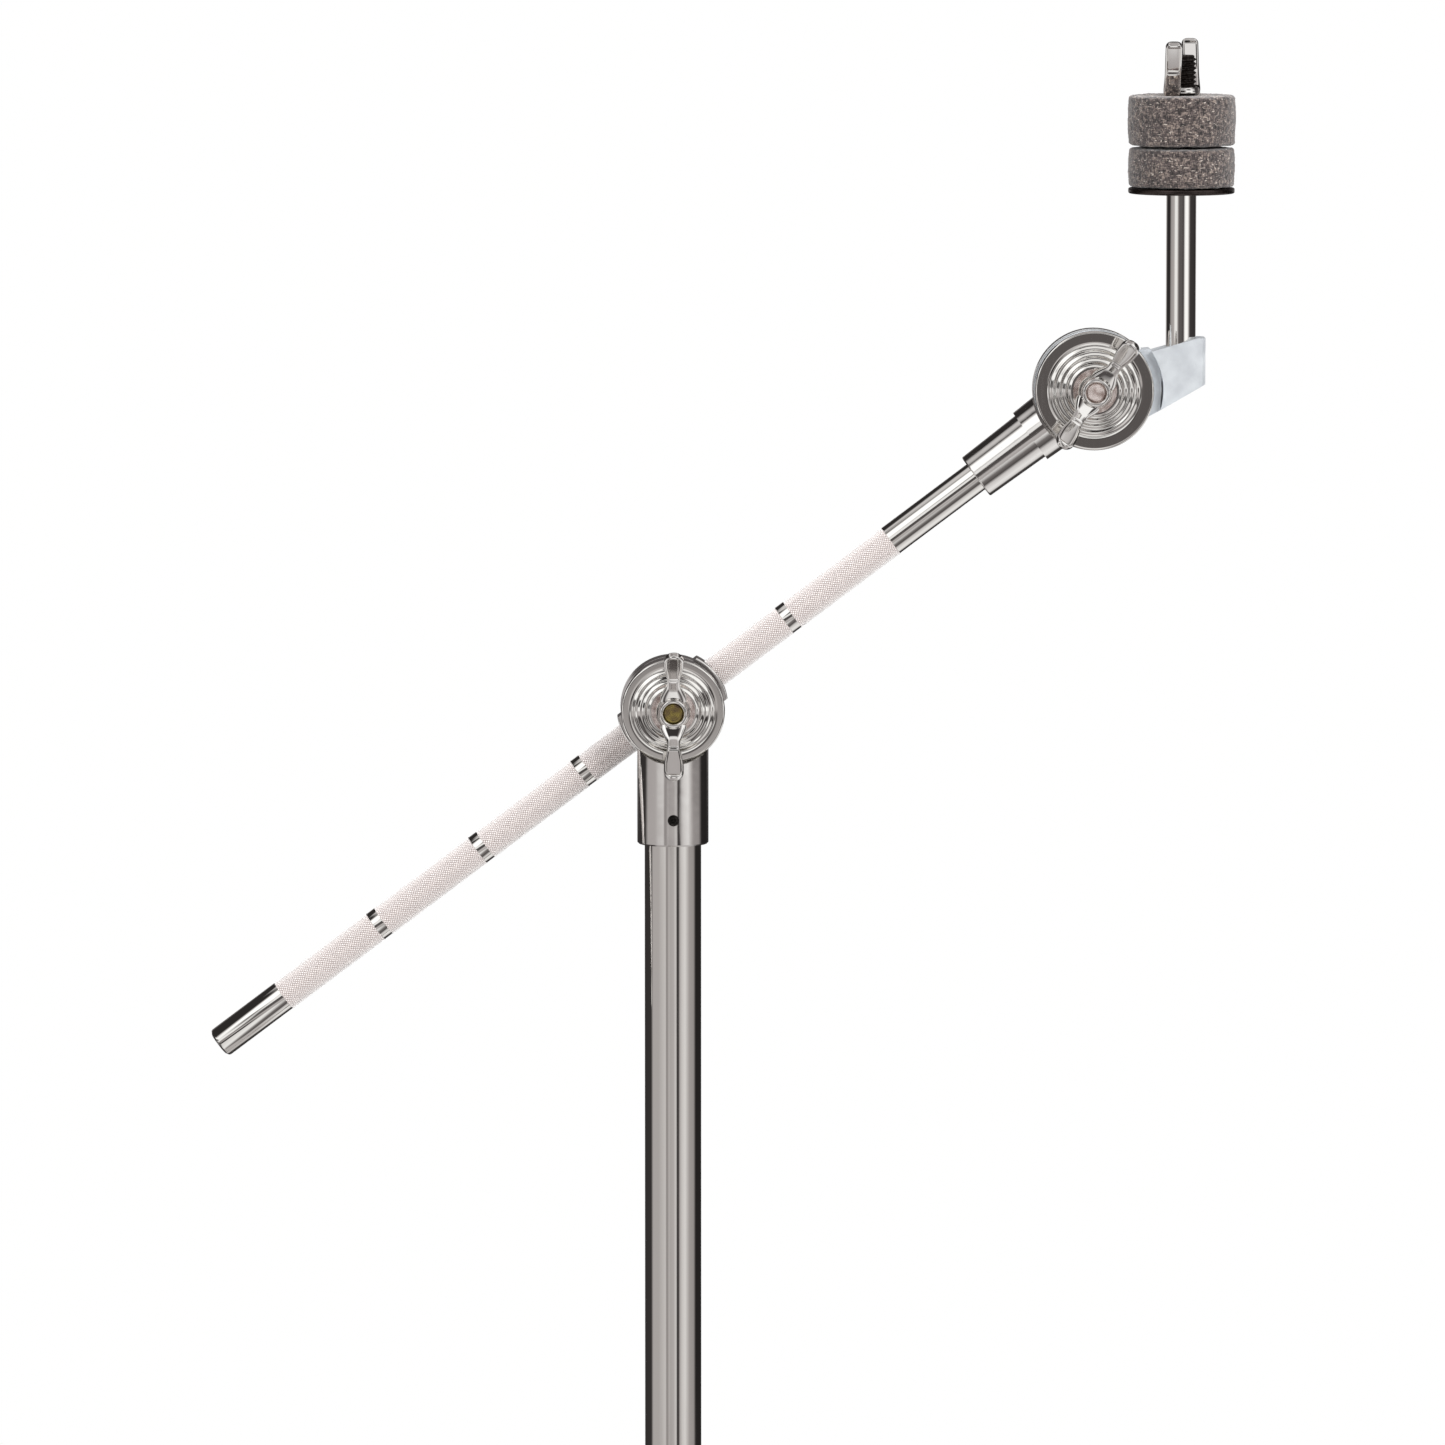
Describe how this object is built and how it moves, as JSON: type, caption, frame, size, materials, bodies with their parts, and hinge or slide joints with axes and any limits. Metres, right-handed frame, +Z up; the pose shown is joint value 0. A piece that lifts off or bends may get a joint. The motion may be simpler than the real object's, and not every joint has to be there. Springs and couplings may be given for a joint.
{
  "type": "cymbal boom stand",
  "caption": "Chromed drum-kit stand with a folding braced tripod, telescoping tubes, a knurled boom arm and a tilting felt-padded rod that holds a cymbal.",
  "frame": {"origin": "on the tube axis at floor level", "axes": "+Z up along the tubes; +X towards the side the boom reaches over; -Y is the front, where the tilters' wing nuts face"},
  "size_m": [0.5336, 0.6162, 1.2631],
  "materials": {
    "chrome": "polished chrome plate on steel",
    "cast_chrome": "chrome plate on zinc casting",
    "knurled_chrome": "chrome plate over a diamond knurl",
    "satin_zinc": "satin nickel plate on zinc casting",
    "steel": "bright turned steel",
    "yellow_zinc": "yellow passivated zinc plate",
    "black_oxide": "black oxide steel",
    "dark_chrome": "dark polished plate",
    "nylon": "moulded black nylon",
    "fibre": "pressed fibre",
    "rubber": "moulded rubber",
    "felt": "pressed grey wool felt"
  },
  "bodies": {
    "base": {"base_tube": "chrome", "base_tube_plug": "rubber", "base_clamp": "cast_chrome", "base_clamp_bush": "nylon", "lower_collar": "cast_chrome", "brace_pivot_rivets": "steel"},
    "base_clamp_bolt": {"base_clamp_wing_bolt": "cast_chrome"},
    "leg_collar_body": {"leg_collar": "cast_chrome", "leg_collar_bush": "nylon", "leg_pivot_rivets": "steel"},
    "leg_collar_bolt": {"leg_collar_wing_bolt": "cast_chrome"},
    "mid_lock": {"mid_tube_lock": "cast_chrome", "mid_tube_lock_screw": "black_oxide"},
    "mid_stage": {"mid_tube": "chrome", "mid_clamp": "cast_chrome", "mid_clamp_bush": "nylon"},
    "mid_clamp_bolt": {"mid_clamp_wing_bolt": "cast_chrome"},
    "top_lock": {"top_tube_lock": "cast_chrome", "top_tube_lock_screw": "black_oxide"},
    "top_stage": {"top_tube": "chrome", "tilter_base": "cast_chrome", "tilter_set_screw": "black_oxide", "tilter_cover": "chrome", "tilter_spring": "steel", "tilter_friction_disc": "fibre"},
    "boom_rotor": {"tilter_rotor": "cast_chrome", "tilter_eye_bolt": "yellow_zinc", "tilter_washer": "steel"},
    "boom_nut": {"tilter_wing_nut": "cast_chrome"},
    "boom": {"boom_arm": "knurled_chrome"},
    "cymbal_socket": {"cymbal_tilter_socket": "cast_chrome", "cymbal_socket_set_screw": "black_oxide", "cymbal_friction_disc": "fibre", "cymbal_tilter_bolt": "steel", "cymbal_tilter_washer": "steel"},
    "cymbal_nut": {"cymbal_tilter_wing_nut": "cast_chrome"},
    "rod_head": {"rod_block": "satin_zinc", "rod_block_set_screw": "black_oxide", "cymbal_tilter_cover": "chrome", "cymbal_tilter_spring": "steel", "cymbal_rod": "chrome", "seat_washer": "dark_chrome", "lower_felt": "felt"},
    "top_felt": {"upper_felt": "felt"},
    "seat_nut": {"cymbal_wing_nut": "cast_chrome"},
    "leg_body_1": {"leg_1": "chrome", "foot_1": "rubber", "leg_rivet_1": "steel"},
    "brace_body_1": {"brace_1": "chrome"},
    "leg_body_2": {"leg_2": "chrome", "foot_2": "rubber", "leg_rivet_2": "steel"},
    "brace_body_2": {"brace_2": "chrome"},
    "leg_body_3": {"leg_3": "chrome", "foot_3": "rubber", "leg_rivet_3": "steel"},
    "brace_body_3": {"brace_3": "chrome"}
  },
  "joints": [
    {"name": "leg_collar_slide", "type": "slide", "parent": "base", "child": "leg_collar_body", "axis": [0, 0, 1], "range_m": [0, 0.09467]},
    {"name": "leg_fold_1", "type": "hinge", "parent": "leg_collar_body", "child": "leg_body_1", "pos_m": [0.03, 0, 0.29], "axis": [0, 1, 0], "range_deg": [0, 43.01]},
    {"name": "brace_fold_1", "type": "hinge", "parent": "base", "child": "brace_body_1", "pos_m": [0.03, 0, 0.0854], "axis": [0, -1, 0], "range_deg": [0, 43.01]},
    {"name": "leg_fold_2", "type": "hinge", "parent": "leg_collar_body", "child": "leg_body_2", "pos_m": [-0.015, 0.02598, 0.29], "axis": [-0.866, -0.5, 0], "range_deg": [0, 43.01]},
    {"name": "brace_fold_2", "type": "hinge", "parent": "base", "child": "brace_body_2", "pos_m": [-0.015, 0.02598, 0.0854], "axis": [0.866, 0.5, 0], "range_deg": [0, 43.01]},
    {"name": "leg_fold_3", "type": "hinge", "parent": "leg_collar_body", "child": "leg_body_3", "pos_m": [-0.015, -0.02598, 0.29], "axis": [0.866, -0.5, 0], "range_deg": [0, 43.01]},
    {"name": "brace_fold_3", "type": "hinge", "parent": "base", "child": "brace_body_3", "pos_m": [-0.015, -0.02598, 0.0854], "axis": [-0.866, 0.5, 0], "range_deg": [0, 43.01]},
    {"name": "leg_collar_bolt_turn", "type": "hinge", "parent": "leg_collar_body", "child": "leg_collar_bolt", "pos_m": [-0.04, 0, 0.32], "axis": [-1, 0, 0], "continuous": true},
    {"name": "base_clamp_bolt_turn", "type": "hinge", "parent": "base", "child": "base_clamp_bolt", "pos_m": [-0.0263, 0, 0.549], "axis": [0, -1, 0], "continuous": true},
    {"name": "mid_height", "type": "slide", "parent": "base", "child": "mid_lock", "axis": [0, 0, 1], "range_m": [0, 0.15]},
    {"name": "mid_swivel", "type": "hinge", "parent": "mid_lock", "child": "mid_stage", "pos_m": [0, 0, 0.57], "axis": [0, 0, 1], "continuous": true},
    {"name": "mid_clamp_bolt_turn", "type": "hinge", "parent": "mid_stage", "child": "mid_clamp_bolt", "pos_m": [-0.0247, 0, 0.661], "axis": [0, -1, 0], "continuous": true},
    {"name": "top_height", "type": "slide", "parent": "mid_stage", "child": "top_lock", "axis": [0, 0, 1], "range_m": [0, 0.15]},
    {"name": "top_swivel", "type": "hinge", "parent": "top_lock", "child": "top_stage", "pos_m": [0, 0, 0.682], "axis": [0, 0, 1], "continuous": true},
    {"name": "boom_pitch", "type": "hinge", "parent": "top_stage", "child": "boom_rotor", "pos_m": [0, 0, 1], "axis": [0, -1, 0], "range_deg": [-95, 53]},
    {"name": "boom_nut_turn", "type": "hinge", "parent": "boom_rotor", "child": "boom_nut", "pos_m": [0, 0, 1], "axis": [0, -1, 0], "continuous": true},
    {"name": "boom_slide", "type": "slide", "parent": "boom_rotor", "child": "boom", "axis": [0.7997, 0, 0.6004], "range_m": [-0.11, 0.18]},
    {"name": "boom_roll", "type": "hinge", "parent": "boom", "child": "cymbal_socket", "pos_m": [0.16593, 0.021, 1.12459], "axis": [0.7997, 0, 0.6004], "continuous": true},
    {"name": "cymbal_nut_turn", "type": "hinge", "parent": "cymbal_socket", "child": "cymbal_nut", "pos_m": [0.16593, 0.021, 1.12459], "axis": [0, -1, 0], "continuous": true},
    {"name": "cymbal_tilt", "type": "hinge", "parent": "cymbal_socket", "child": "rod_head", "pos_m": [0.16593, 0.021, 1.12459], "axis": [0, -1, 0], "range_deg": [-85, 110]},
    {"name": "top_felt_lift", "type": "slide", "parent": "rod_head", "child": "top_felt", "axis": [0, 0, 1], "range_m": [0, 0.016]},
    {"name": "seat_nut_turn", "type": "hinge", "parent": "top_felt", "child": "seat_nut", "pos_m": [0.20014, 0.0182, 1.24459], "axis": [0, 0, 1], "continuous": true}
  ],
  "couplings": [
    {"joint": "leg_fold_1", "follows": "leg_collar_slide", "rad_per_m": 7.9275},
    {"joint": "brace_fold_1", "follows": "leg_collar_slide", "rad_per_m": 7.9275},
    {"joint": "leg_fold_2", "follows": "leg_collar_slide", "rad_per_m": 7.9275},
    {"joint": "brace_fold_2", "follows": "leg_collar_slide", "rad_per_m": 7.9275},
    {"joint": "leg_fold_3", "follows": "leg_collar_slide", "rad_per_m": 7.9275},
    {"joint": "brace_fold_3", "follows": "leg_collar_slide", "rad_per_m": 7.9275}
  ]
}
